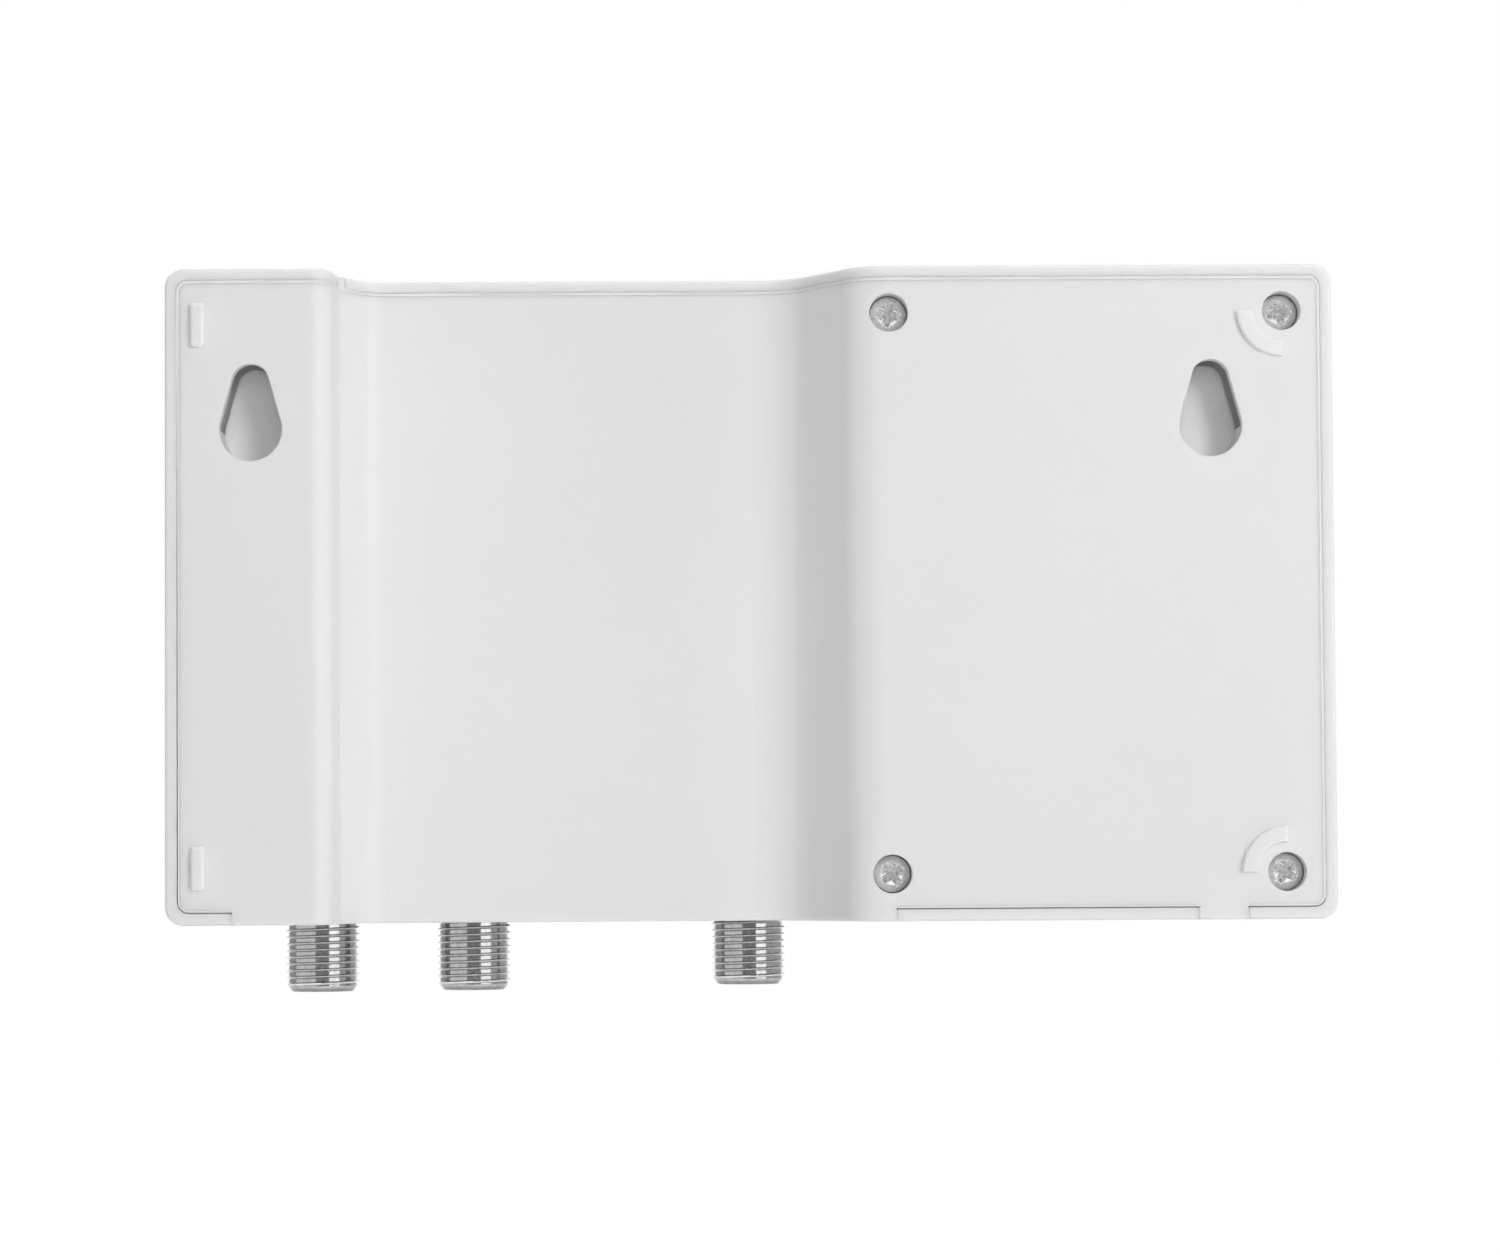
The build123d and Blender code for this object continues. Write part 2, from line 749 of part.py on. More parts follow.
def make_insulator(x, reach):
    """Plastic core of a connector, with a small hole for the cable's centre wire."""
    low = bottom_z - reach + insulator_recess
    core = Pos(0, 0, low) * extrude(Circle(insulator_radius - fit_clearance), amount=flange_high_z - low)
    step_z = low + insulator_front_thickness
    core = core - Pos(0, 0, low - overrun) * extrude(
        Circle(insulator_front_hole_radius), amount=insulator_front_thickness + 2 * overrun
    )
    core = core - Pos(0, 0, step_z) * extrude(
        Circle(contact_radius + fit_clearance), amount=flange_high_z - step_z + overrun
    )
    return Pos(x, axis_y, 0) * core


def make_contact(x, reach):
    """Centre contact of a connector: a sprung tube in the insulator and a tail laid on the board."""
    low = bottom_z - reach + insulator_recess + insulator_front_thickness
    tube = Pos(0, 0, low) * extrude(Circle(contact_radius), amount=flange_high_z - low)
    tube = tube - Pos(0, 0, low - overrun) * extrude(
        Circle(contact_bore_radius), amount=contact_bore_depth + overrun
    )
    tail = Pos(0, 0, flange_high_z - flange_thickness) * extrude(
        Circle(contact_tail_radius), amount=contact_tail_length + flange_thickness
    )
    return Pos(x, axis_y, 0) * (tube + tail)


def in_power_section(x_share, z_share):
    """Place on the board right of the shield, from shares of that section's width and the board's height."""
    section_width = board_right_x - shield_right_x
    return shield_right_x + x_share * section_width, board_bottom_z + z_share * board_height


def in_shield(x_share, z_share):
    """Place inside the shield, from shares of its width and height."""
    return shield_left_x + x_share * shield_width, shield_low_z + z_share * shield_height


def make_main_board():
    """Circuit board notched round the case posts, with holes for its own screws."""
    board = box_between(
        board_left_x, board_right_x, board_rear_y, board_front_y, board_bottom_z, board_top_z
    )
    for x, z in screw_places:
        board = board - rod_between(
            x, z, post_radius + post_clearance, board_rear_y - overrun, board_front_y + overrun
        )
    for x, z in board_screw_places:
        board = board - rod_between(x, z, board_hole_radius, board_rear_y - overrun, board_front_y + overrun)
    for tab in jack_contact_boxes(fit_clearance):
        board = board - tab
    return board


def make_shield_frame():
    """Folded tinplate wall round the radio-frequency section, with one partition."""
    centre = ((shield_left_x + shield_right_x) / 2, (shield_low_z + shield_high_z) / 2)
    outer = Pos(*centre) * Rectangle(shield_width, shield_height)
    inner = Pos(*centre) * Rectangle(shield_width - 2 * shield_wall, shield_height - 2 * shield_wall)
    partition_x = shield_left_x + shield_partition_share * shield_width
    partition = Pos(partition_x, centre[1]) * Rectangle(shield_wall, shield_height)
    return block(outer - inner + partition, shield_top_y, board_rear_y)


def make_shield_lid():
    """Flat lid with four small folded tabs that grip the outside of the frame."""
    tab_far = shield_top_y + shield_tab_depth
    centre = ((shield_left_x + shield_right_x) / 2, (shield_low_z + shield_high_z) / 2)
    outline = Pos(*centre) * Rectangle(
        shield_width + 2 * shield_lid_thickness, shield_height + 2 * shield_lid_thickness
    )
    lid = block(outline, shield_lid_y, shield_top_y)
    for share in shield_tab_shares:
        x = shield_left_x + share * shield_width
        for z_low in (shield_low_z - shield_lid_thickness, shield_high_z):
            lid = lid + box_between(
                x - shield_tab_width / 2, x + shield_tab_width / 2,
                shield_lid_y, tab_far, z_low, z_low + shield_lid_thickness,
            )
    return lid


def make_amplifier_chips():
    """Small flat amplifier packages with gull legs on two sides."""
    solids = []
    for place in chip_place_shares:
        x, z = in_shield(*place)
        near = board_rear_y - chip_thickness
        chip = box_between(
            x - chip_width / 2, x + chip_width / 2, near, board_rear_y - chip_leg_thickness,
            z - chip_height / 2, z + chip_height / 2,
        )
        for index in range(chip_leg_count):
            leg_z = z + (index - (chip_leg_count - 1) / 2) * chip_leg_pitch
            chip = chip + box_between(
                x - chip_width / 2 - chip_leg_reach, x + chip_width / 2 + chip_leg_reach,
                board_rear_y - 2 * chip_leg_thickness, board_rear_y,
                leg_z - chip_leg_width / 2, leg_z + chip_leg_width / 2,
            )
        solids.append(chip)
    return Compound(children=solids)


def make_splitter_cores():
    """Two-hole ferrite cores of the splitter transformers."""
    solids = []
    for place in core_place_shares:
        x, z = in_shield(*place)
        core = box_between(
            x - core_width / 2, x + core_width / 2, board_rear_y - core_thickness, board_rear_y,
            z - core_height / 2, z + core_height / 2,
        )
        for side in (-1, 1):
            hole = extrude(Circle(core_hole_radius), amount=core_height + 2 * overrun)
            hole_x = x + side * core_hole_share * core_width
            core = core - Pos(hole_x, board_rear_y - core_thickness / 2, z - core_height / 2 - overrun) * hole
        solids.append(core)
    return Compound(children=solids)


def make_filter_coils():
    """Air-wound filter coils, each a stack of touching turns standing on the board."""
    solids = []
    for place in coil_place_shares:
        x, z = in_shield(*place)
        length = 2 * coil_wire_radius * coil_turns
        ring = Circle(coil_radius) - Circle(coil_radius - 2 * coil_wire_radius)
        solids.append(block(Pos(x, z) * ring, board_rear_y - length, board_rear_y))
    return Compound(children=solids)


def make_chip_parts():
    """Surface-mounted capacitors and resistors round the amplifier."""
    solids = []
    for place in chip_part_place_shares:
        x, z = in_shield(*place)
        solids.append(box_between(
            x - chip_part_width / 2, x + chip_part_width / 2,
            board_rear_y - chip_part_thickness, board_rear_y,
            z - chip_part_length / 2, z + chip_part_length / 2,
        ))
    return Compound(children=solids)


def make_capacitors():
    """Electrolytic capacitor cans with a rolled groove near the board."""
    solids = []
    for place in capacitor_place_shares:
        x, z = in_power_section(*place)
        near = board_rear_y - capacitor_length
        can = rod_between(x, z, capacitor_radius, near, board_rear_y)
        can = fillet(can.edges().sort_by(Axis.Y)[0], capacitor_rounding)
        groove_y_low = board_rear_y - capacitor_groove_share * capacitor_length - capacitor_groove_height / 2
        ring = Circle(capacitor_radius + overrun) - Circle(capacitor_radius - capacitor_groove_depth)
        can = can - block(Pos(x, z) * ring, groove_y_low, groove_y_low + capacitor_groove_height)
        solids.append(can)
    return Compound(children=solids)


def make_inductor():
    """Ring-shaped power inductor lying on the board."""
    x, z = in_power_section(*inductor_place_share)
    ring = Plane.XZ * Torus(inductor_ring_radius, inductor_wire_radius)
    return Pos(x, board_rear_y - inductor_wire_radius, z) * ring


def make_regulator():
    """Upright voltage regulator with a holed metal tab and three legs."""
    x, z = in_power_section(*regulator_place_share)
    body_far = board_rear_y - regulator_leg_height
    body_near = body_far - regulator_body_height
    tab_near = body_near - regulator_tab_height
    body = box_between(
        x - regulator_width / 2, x + regulator_width / 2, body_near, body_far,
        z - regulator_thickness / 2, z + regulator_thickness / 2,
    )
    tab_high = z + regulator_thickness / 2
    body = body + box_between(
        x - regulator_width / 2, x + regulator_width / 2, tab_near, body_near,
        tab_high - regulator_tab_thickness, tab_high,
    )
    hole = extrude(Circle(regulator_hole_radius), amount=regulator_tab_thickness + 2 * overrun)
    hole_y = tab_near + regulator_tab_height / 2
    body = body - Pos(x, hole_y, tab_high - regulator_tab_thickness - overrun) * hole
    for index in (-1, 0, 1):
        leg_x = x + index * regulator_leg_pitch
        body = body + box_between(
            leg_x - regulator_leg_width / 2, leg_x + regulator_leg_width / 2, body_far, board_rear_y,
            z - regulator_leg_thickness / 2, z + regulator_leg_thickness / 2,
        )
    return body


def make_diode():
    """Rectifier diode on two bent leads."""
    x, z = in_power_section(*diode_place_share)
    y = board_rear_y - diode_lead_length
    body = Pos(x, y, z - diode_length / 2) * extrude(Circle(diode_radius), amount=diode_length)
    reach = diode_length / 2 + diode_radius
    route = FilletPolyline(
        (x, board_rear_y, z - reach), (x, y, z - reach), (x, y, z + reach), (x, board_rear_y, z + reach),
        radius=2 * diode_lead_radius,
    )
    start = Plane(origin=route @ 0, z_dir=route % 0)
    lead = sweep(start * Circle(diode_lead_radius), path=route)
    return body + lead


def jack_envelope(growth):
    """Space round the power inlet socket, grown on all sides, from the bottom wall up."""
    return box_between(
        jack_x - jack_width / 2 - growth, jack_x + jack_width / 2 + growth,
        board_rear_y - jack_height - growth, board_rear_y + growth,
        inner_bottom_z, jack_mouth_z + jack_length + growth,
    )


def make_jack_body():
    """Moulded socket body with a round bore for the plug and a rear wall that holds the pin."""
    body = box_between(
        jack_x - jack_width / 2, jack_x + jack_width / 2, board_rear_y - jack_height, board_rear_y,
        jack_mouth_z, jack_mouth_z + jack_length,
    )
    rear_edges = body.edges().filter_by(Axis.Z).sort_by(Axis.Y)[:2]
    body = fillet(rear_edges, jack_width / 4)
    bore = Pos(jack_x, jack_y, jack_mouth_z - overrun) * extrude(
        Circle(jack_hole_radius), amount=jack_bore_length + overrun
    )
    pin_hole = Pos(jack_x, jack_y, jack_mouth_z) * extrude(
        Circle(jack_pin_collar_radius + fit_clearance), amount=jack_length + overrun
    )
    body = body - bore - pin_hole
    for tab in jack_contact_boxes(fit_clearance):
        body = body - tab
    return body


def make_jack_pin():
    """Centre pin of the power inlet, riveted in the socket's rear wall."""
    low = jack_mouth_z + jack_pin_recess
    collar_low = jack_mouth_z + jack_bore_length
    pin = Pos(jack_x, jack_y, low) * extrude(Circle(jack_pin_radius), amount=jack_mouth_z + jack_length - low)
    pin = fillet(pin.edges().sort_by(Axis.Z)[0], jack_pin_radius / 2)
    collar = Pos(jack_x, jack_y, collar_low) * extrude(
        Circle(jack_pin_collar_radius), amount=jack_length - jack_bore_length
    )
    return pin + collar


def jack_contact_boxes(growth):
    """Solder tabs of the power inlet, from inside the socket through the board, or their slots."""
    half_width = jack_contact_width / 2 + growth
    half_thickness = jack_contact_thickness / 2 + growth
    tabs = []
    for share in jack_contact_positions_shares:
        z = jack_mouth_z + share * jack_length
        tabs.append(box_between(
            jack_x - half_width, jack_x + half_width,
            board_rear_y - jack_contact_length / 2 - growth, board_front_y + jack_contact_length / 2 + growth,
            z - half_thickness, z + half_thickness,
        ))
    return tabs


def make_jack_contacts():
    """Solder tabs of the power inlet."""
    return Compound(children=jack_contact_boxes(0))


def make_led():
    """Flat power light soldered on the front of the board."""
    x, z = in_power_section(*led_place_share)
    return box_between(
        x - led_width / 2, x + led_width / 2, board_front_y, board_front_y + led_thickness,
        z - led_height / 2, z + led_height / 2,
    )


def make_light_pipe():
    """Clear rod that carries the light to the front of the case, with a collar behind the front wall."""
    x, z = in_power_section(*led_place_share)
    near = board_front_y + led_thickness + light_pipe_led_gap
    collar_far = crowned_depth(x + light_pipe_collar_radius, inner_front_y)
    rod = rod_between(x, z, light_pipe_radius, near, crowned_depth(x, front_y) + light_pipe_proud)
    rod = fillet(rod.edges().sort_by(Axis.Y)[-1], light_pipe_dome)
    collar = rod_between(x, z, light_pipe_collar_radius, collar_far - light_pipe_collar_thickness, collar_far)
    return rod + collar


def build():
    """All sub-parts by name."""
    body = outer_body()
    parts = {
        "front_shell": make_front_shell(body),
        "rear_cover": make_rear_cover(body),
        "case_screws": make_case_screws(),
        "board_screws": make_board_screws(),
        "main_board": make_main_board(),
        "shield_frame": make_shield_frame(),
        "shield_lid": make_shield_lid(),
        "amplifier_chips": make_amplifier_chips(),
        "splitter_cores": make_splitter_cores(),
        "filter_coils": make_filter_coils(),
        "chip_parts": make_chip_parts(),
        "electrolytic_capacitors": make_capacitors(),
        "power_inductor": make_inductor(),
        "voltage_regulator": make_regulator(),
        "rectifier_diode": make_diode(),
        "power_inlet_body": make_jack_body(),
        "power_inlet_pin": make_jack_pin(),
        "power_inlet_contacts": make_jack_contacts(),
        "power_led": make_led(),
        "led_light_pipe": make_light_pipe(),
    }
    names = ("left", "middle", "right")
    for name, x, reach in zip(names, connector_xs, connector_reaches):
        parts[name + "_connector_barrel"] = make_connector(x, reach)
        parts[name + "_connector_insulator"] = make_insulator(x, reach)
        parts[name + "_connector_contact"] = make_contact(x, reach)
    return parts


os.makedirs("parts", exist_ok=True)
for node, solid in build().items():
    export_step(solid, f"parts/{node}.step")
    print(node, len(solid.solids()), round(solid.volume, 1))
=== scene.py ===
from math import cos, pi, radians, sin, tau

import bmesh
import bpy
from mathutils import Matrix, Vector


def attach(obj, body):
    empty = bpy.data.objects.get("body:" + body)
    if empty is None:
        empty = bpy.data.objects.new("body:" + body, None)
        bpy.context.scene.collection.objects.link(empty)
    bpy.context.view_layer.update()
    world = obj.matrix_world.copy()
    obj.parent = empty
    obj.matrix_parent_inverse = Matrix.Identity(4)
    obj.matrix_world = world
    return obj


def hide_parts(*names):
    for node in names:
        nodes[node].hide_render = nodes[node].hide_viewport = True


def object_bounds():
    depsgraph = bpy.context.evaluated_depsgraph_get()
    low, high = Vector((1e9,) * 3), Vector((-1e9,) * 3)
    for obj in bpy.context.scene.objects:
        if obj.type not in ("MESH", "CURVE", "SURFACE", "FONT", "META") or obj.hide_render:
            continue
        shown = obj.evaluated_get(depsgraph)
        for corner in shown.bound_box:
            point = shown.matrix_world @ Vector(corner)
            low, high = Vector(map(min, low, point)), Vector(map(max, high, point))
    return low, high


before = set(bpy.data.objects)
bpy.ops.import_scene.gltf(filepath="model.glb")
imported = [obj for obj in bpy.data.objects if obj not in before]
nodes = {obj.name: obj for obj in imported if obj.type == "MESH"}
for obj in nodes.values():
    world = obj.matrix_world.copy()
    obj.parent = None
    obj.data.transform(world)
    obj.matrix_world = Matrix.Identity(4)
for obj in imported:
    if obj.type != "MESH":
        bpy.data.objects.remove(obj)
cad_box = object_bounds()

MM = 0.001

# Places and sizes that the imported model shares, in millimetres. A connector is the x of its axis and the z of
# its end, a screw its x, its z and the turn of its recess in degrees.
CASE_BOTTOM = -67.7
CONNECTOR_AXIS_Y = 26.0
CONNECTORS = {"left": (-53.2, -76.6), "middle": (-33.6, -76.5), "right": (2.0, -76.0)}
FLANGE_LOW = -65.2
FLANGE_HIGH = -63.2
BOARD_REAR = 26.4
BOARD_FRONT = 28.0
SCREW_PLACES = ((19.8, 8.4, 12.0), (69.0, 8.4, 78.0), (69.0, -61.8, 33.0), (19.8, -61.8, 55.0))
SCREW_SEAT = 5.0
WAVE_POINTS = (
    (-71.7, 1.0), (-50.25, 1.0), (-49.5, 8.5), (-46.15, 14.8), (7.2, 14.8), (16.0, 1.0), (76.3, 1.0),
)
WAVE_RADII = (2.4, 0.4, 3.1, 8.0, 5.5)
BLOCK_Y = WAVE_POINTS[0][1]
INTO_CASE = Vector((0, 1))
SEAM_LEFT, SEAM_RIGHT, SEAM_LOW, SEAM_HIGH = -69.125, 73.725, -66.125, 12.725
SEAM_CORNER = 1.375
SEAM_GAP = 0.15
SEAM_SKIN = 0.012
COVER_ROUNDING = 0.25
APRON_ENDS = (-62.475, 20.325)
TAB_ENDS = (57.875, 64.125)
KEYHOLES = (-60.0, 60.0)
KEYHOLE_LOW_RADIUS, KEYHOLE_HIGH_RADIUS, KEYHOLE_DROP = 3.93, 2.35, 5.87
PLATE_UNDERSIDE, WELL_UNDERSIDE = 3.0, 10.0
OVERLAP = 0.02
NOTCH = ((-49.98, 10.0), (-49.5, 9.68), (-48.92, 9.66), (-49.98, 13.95))
RIM_LOW, RIM_HIGH = 12.82, 14.25


# Camera

def set_camera():
    """Camera behind the object, fitted to points of the photograph."""
    width, height = 1500, 1255
    focal, sensor = 4422.3, 36.0
    centre_x, centre_y = 751.02, 661.32
    place = (-0.004575, -0.549672, -0.059119)
    pitch, roll, yaw = 0.0434, 0.0063, -0.0122
    data = bpy.data.cameras.new("camera")
    data.sensor_fit = "HORIZONTAL"
    data.sensor_width = sensor
    data.lens = focal / width * sensor
    data.shift_x = (width / 2 - centre_x) / width
    data.shift_y = (centre_y - height / 2) / width
    data.clip_start = 0.01
    camera = bpy.data.objects.new("camera", data)
    bpy.context.scene.collection.objects.link(camera)
    turn = (
        Matrix.Rotation(yaw, 4, "Z") @ Matrix.Rotation(roll, 4, "Y") @ Matrix.Rotation(pitch, 4, "X")
        @ Matrix.Rotation(pi / 2, 4, "X")
    )
    camera.matrix_world = Matrix.Translation(place) @ turn
    bpy.context.scene.camera = camera


# Materials

NOISE_LOW, NOISE_HIGH = 0.3, 0.7


def link(tree, source, target):
    tree.links.new(source, target)


def noise(tree, coords, scale, detail, roughness=0.5):
    node = tree.nodes.new("ShaderNodeTexNoise")
    node.inputs["Scale"].default_value = scale
    node.inputs["Detail"].default_value = detail
    node.inputs["Roughness"].default_value = roughness
    link(tree, coords, node.inputs["Vector"])
    return node.outputs["Fac"]


def ramp(tree, value, low, high):
    """Tone between two colours by noise."""
    node = tree.nodes.new("ShaderNodeValToRGB")
    node.color_ramp.elements[0].position = NOISE_LOW
    node.color_ramp.elements[0].color = (*low, 1)
    node.color_ramp.elements[1].position = NOISE_HIGH
    node.color_ramp.elements[1].color = (*high, 1)
    link(tree, value, node.inputs["Fac"])
    return node.outputs["Color"]


def spread(tree, value, low, high):
    """Number between two levels by noise."""
    node = tree.nodes.new("ShaderNodeMapRange")
    node.inputs["From Min"].default_value = NOISE_LOW
    node.inputs["From Max"].default_value = NOISE_HIGH
    node.inputs["To Min"].default_value = low
    node.inputs["To Max"].default_value = high
    link(tree, value, node.inputs["Value"])
    return node.outputs["Result"]


def bump(tree, value, distance):
    """Relief by noise."""
    node = tree.nodes.new("ShaderNodeBump")
    node.inputs["Strength"].default_value = 1.0
    node.inputs["Distance"].default_value = distance
    link(tree, value, node.inputs["Height"])
    return node.outputs["Normal"]


def surface(name, low, high, tone_scale, roughness, grain_scale, grain_depth, metallic=0.0, **settings):
    """Procedural material: two close tones, a roughness that drifts, and a fine grain in relief."""
    material = bpy.data.materials.new(name)
    material.use_nodes = True
    tree = material.node_tree
    shader = tree.nodes["Principled BSDF"]
    coords = tree.nodes.new("ShaderNodeTexCoord").outputs["Object"]
    tone = noise(tree, coords, tone_scale, detail=4.0)
    grain = noise(tree, coords, grain_scale, detail=3.0, roughness=0.6)
    link(tree, ramp(tree, tone, low, high), shader.inputs["Base Color"])
    link(tree, spread(tree, grain, *roughness), shader.inputs["Roughness"])
    link(tree, bump(tree, grain, grain_depth), shader.inputs["Normal"])
    shader.inputs["Metallic"].default_value = metallic
    for key, value in settings.items():
        shader.inputs[key.replace("_", " ")].default_value = value
    return material


def paint_thread_shade(material, level):
    """Painted shade: darkens the metal's colour towards a level where the mesh marks it as low between two
    crests of the thread, and further in.
    """
    tree = material.node_tree
    base = tree.nodes["Principled BSDF"].inputs["Base Color"]
    mark = tree.nodes.new("ShaderNodeAttribute")
    mark.attribute_name = "crest"
    share = tree.nodes.new("ShaderNodeMapRange")
    share.inputs["To Min"].default_value = level
    link(tree, mark.outputs["Fac"], share.inputs["Value"])
    shade = tree.nodes.new("ShaderNodeVectorMath")
    shade.operation = "SCALE"
    link(tree, base.links[0].from_socket, shade.inputs["Vector"])
    link(tree, share.outputs["Result"], shade.inputs["Scale"])
    link(tree, shade.outputs["Vector"], base)


def dress(node, material):
    """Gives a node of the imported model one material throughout."""
    for holder in nodes[node].material_slots:
        holder.material = material


def make_materials():
    """Materials by name. The last number of a metal's row is how metallic it is, and other rows lack it."""
    case_tones = (0.845, 0.846, 0.846), (0.865, 0.866, 0.866)
    # Painted shade: a darker copy of the case's plastic, without subsurface, for the walls inside the keyhole
    # wells.
    shaded_well_tones = (0.64, 0.64, 0.638), (0.67, 0.67, 0.668)
    moulded = 22, (0.42, 0.5), 3200, 0.000012
    rows = (
        ("lip_plastic", *case_tones, *moulded),
        ("shaded_well_plastic", *shaded_well_tones, *moulded),
        ("nickel_plating", (0.58, 0.58, 0.575), (0.74, 0.74, 0.735), 1500, (0.06, 0.14), 2300, 0.000004, 1.0),
        ("zinc_plating", (0.84, 0.84, 0.835), (0.95, 0.95, 0.945), 1600, (0.1, 0.2), 2600, 0.000003, 0.76),
        ("tinplate", (0.58, 0.58, 0.56), (0.7, 0.7, 0.68), 140, (0.26, 0.42), 1500, 0.000006, 1.0),
        ("board_laminate", (0.018, 0.13, 0.06), (0.03, 0.2, 0.09), 260, (0.3, 0.42), 1400, 0.00001),
        ("package_plastic", (0.018, 0.018, 0.02), (0.035, 0.035, 0.038), 500, (0.5, 0.65), 3600, 0.00001),
        ("ferrite", (0.03, 0.03, 0.033), (0.06, 0.06, 0.062), 700, (0.55, 0.75), 2600, 0.00002),
        ("enamelled_copper", (0.42, 0.13, 0.045), (0.6, 0.22, 0.09), 600, (0.2, 0.34), 1800, 0.000006, 1.0),
        ("chip_ceramic", (0.36, 0.27, 0.17), (0.46, 0.36, 0.24), 900, (0.45, 0.6), 3000, 0.00001),
        ("can_aluminium", (0.6, 0.61, 0.62), (0.74, 0.75, 0.76), 300, (0.24, 0.38), 2200, 0.000006, 1.0),
        ("inlet_plastic", (0.016, 0.016, 0.017), (0.03, 0.03, 0.031), 420, (0.42, 0.55), 3200, 0.00001),
        ("contact_plating", (0.6, 0.52, 0.36), (0.74, 0.66, 0.48), 700, (0.2, 0.34), 2400, 0.000006, 1.0),
        ("insulator_plastic", (0.74, 0.74, 0.72), (0.82, 0.82, 0.8), 500, (0.38, 0.5), 3000, 0.00001),
        ("led_lens", (0.5, 0.62, 0.44), (0.62, 0.74, 0.55), 900, (0.12, 0.2), 2600, 0.000004),
    )
    looks = {name: surface(name, *values) for name, *values in rows}
    # Painted shade in the roots of the connectors' threads, and further in towards their axis.
    paint_thread_shade(looks["nickel_plating"], 0.32)
    looks["case_plastic"] = surface(
        "case_plastic", *case_tones, *moulded,
        Subsurface_Weight=1.0, Subsurface_Radius=(1.0, 1.0, 1.0), Subsurface_Scale=0.0008,
    )
    looks["clear_plastic"] = surface(
        "clear_plastic", (0.86, 0.9, 0.88), (0.92, 0.95, 0.94), 500, (0.08, 0.16), 2600, 0.000004,
        Transmission_Weight=0.75, IOR=1.58,
    )
    return looks


def dress_nodes(looks):
    """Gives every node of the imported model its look."""
    wanted = {
        "case_plastic": ("front_shell", "rear_cover"),
        "nickel_plating": [side + "_connector_barrel" for side in CONNECTORS],
        "insulator_plastic": [side + "_connector_insulator" for side in CONNECTORS],
        "contact_plating": [side + "_connector_contact" for side in CONNECTORS]
        + ["power_inlet_pin", "power_inlet_contacts"],
        "zinc_plating": ("case_screws", "board_screws"),
        "board_laminate": ("main_board",),
        "tinplate": ("shield_frame", "shield_lid"),
        "package_plastic": ("amplifier_chips", "voltage_regulator", "rectifier_diode"),
        "ferrite": ("splitter_cores",),
        "enamelled_copper": ("filter_coils", "power_inductor"),
        "chip_ceramic": ("chip_parts",),
        "can_aluminium": ("electrolytic_capacitors",),
        "inlet_plastic": ("power_inlet_body",),
        "led_lens": ("power_led",),
        "clear_plastic": ("led_light_pipe",),
    }
    for look, names in wanted.items():
        for name in names:
            dress(name, looks[look])


# Mesh helpers

def new_piece(name, mesh_builder, material, replaced, smooth_angle=35):
    """Piece from a mesh built in millimetres, riding on the one body. It may take the place of a node."""
    weld = 0.0005
    bm = bmesh.new()
    mesh_builder(bm)
    bmesh.ops.remove_doubles(bm, verts=bm.verts, dist=weld)
    bmesh.ops.dissolve_degenerate(bm, edges=bm.edges, dist=weld)
    bmesh.ops.recalc_face_normals(bm, faces=bm.faces)
    bmesh.ops.scale(bm, verts=bm.verts, vec=(MM, MM, MM))
    mesh = bpy.data.meshes.new(name)
    bm.to_mesh(mesh)
    bm.free()
    mesh.shade_smooth()
    mesh.set_sharp_from_angle(angle=radians(smooth_angle))
    mesh.materials.append(material)
    piece = bpy.data.objects.new(name, mesh)
    bpy.context.scene.collection.objects.link(piece)
    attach(piece, "root")
    if replaced:
        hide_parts(replaced)
    return piece


def ring(bm, place, radius_at, z, segments):
    """Closed loop of vertices round a Z axis, with a radius that may depend on the angle."""
    loop = []
    for index in range(segments):
        angle = tau * index / segments
        radius = radius_at(angle)
        loop.append(bm.verts.new((place[0] + radius * cos(angle), place[1] + radius * sin(angle), z)))
    return loop


def bridge(bm, first, second):
    """Band of faces between two closed loops of as many vertices."""
    count = len(first)
    for index in range(count):
        after = (index + 1) % count
        bm.faces.new((first[index], first[after], second[after], second[index]))


def helix(bm, place, low, high, pitch, radius_at, segments, rows):
    """Thread whose rows of faces follow its helix, and the loops of vertices that end it."""
    spare_turns = 3
    count = rows * (int((high - low) / pitch) + spare_turns)
    columns = []
    for index in range(segments):
        angle = tau * index / segments
        column = []
        for row in range(count + rows + 1):
            z = low - pitch + pitch * row / rows + pitch * index / segments
            z = min(max(z, low), high)
            radius = radius_at((row / rows) % 1, z)
            column.append(bm.verts.new((place[0] + radius * cos(angle), place[1] + radius * sin(angle), z)))
        columns.append(column)
    for index in range(segments):
        here, after = columns[index], columns[(index + 1) % segments]
        shift = rows if index == segments - 1 else 0
        for row in range(count):
            bm.faces.new((here[row], after[row + shift], after[row + 1 + shift], here[row + 1]))
    return [column[0] for column in columns], [column[-1] for column in columns]


def thread_height(phase):
    """Share of the thread's depth at a share of its pitch: wide roots, steep flanks and a narrow crest."""
    foot, flank = 0.42, 0.3
    away = abs(2 * phase - 1)
    return min(max((foot - away) / flank, 0), 1)


def small_box(bm, low, high):
    """Box between two opposite corners."""
    for vert in bmesh.ops.create_cube(bm, size=1.0)["verts"]:
        vert.co = Vector([low[axis] if vert.co[axis] < 0 else high[axis] for axis in range(3)])


# Connectors

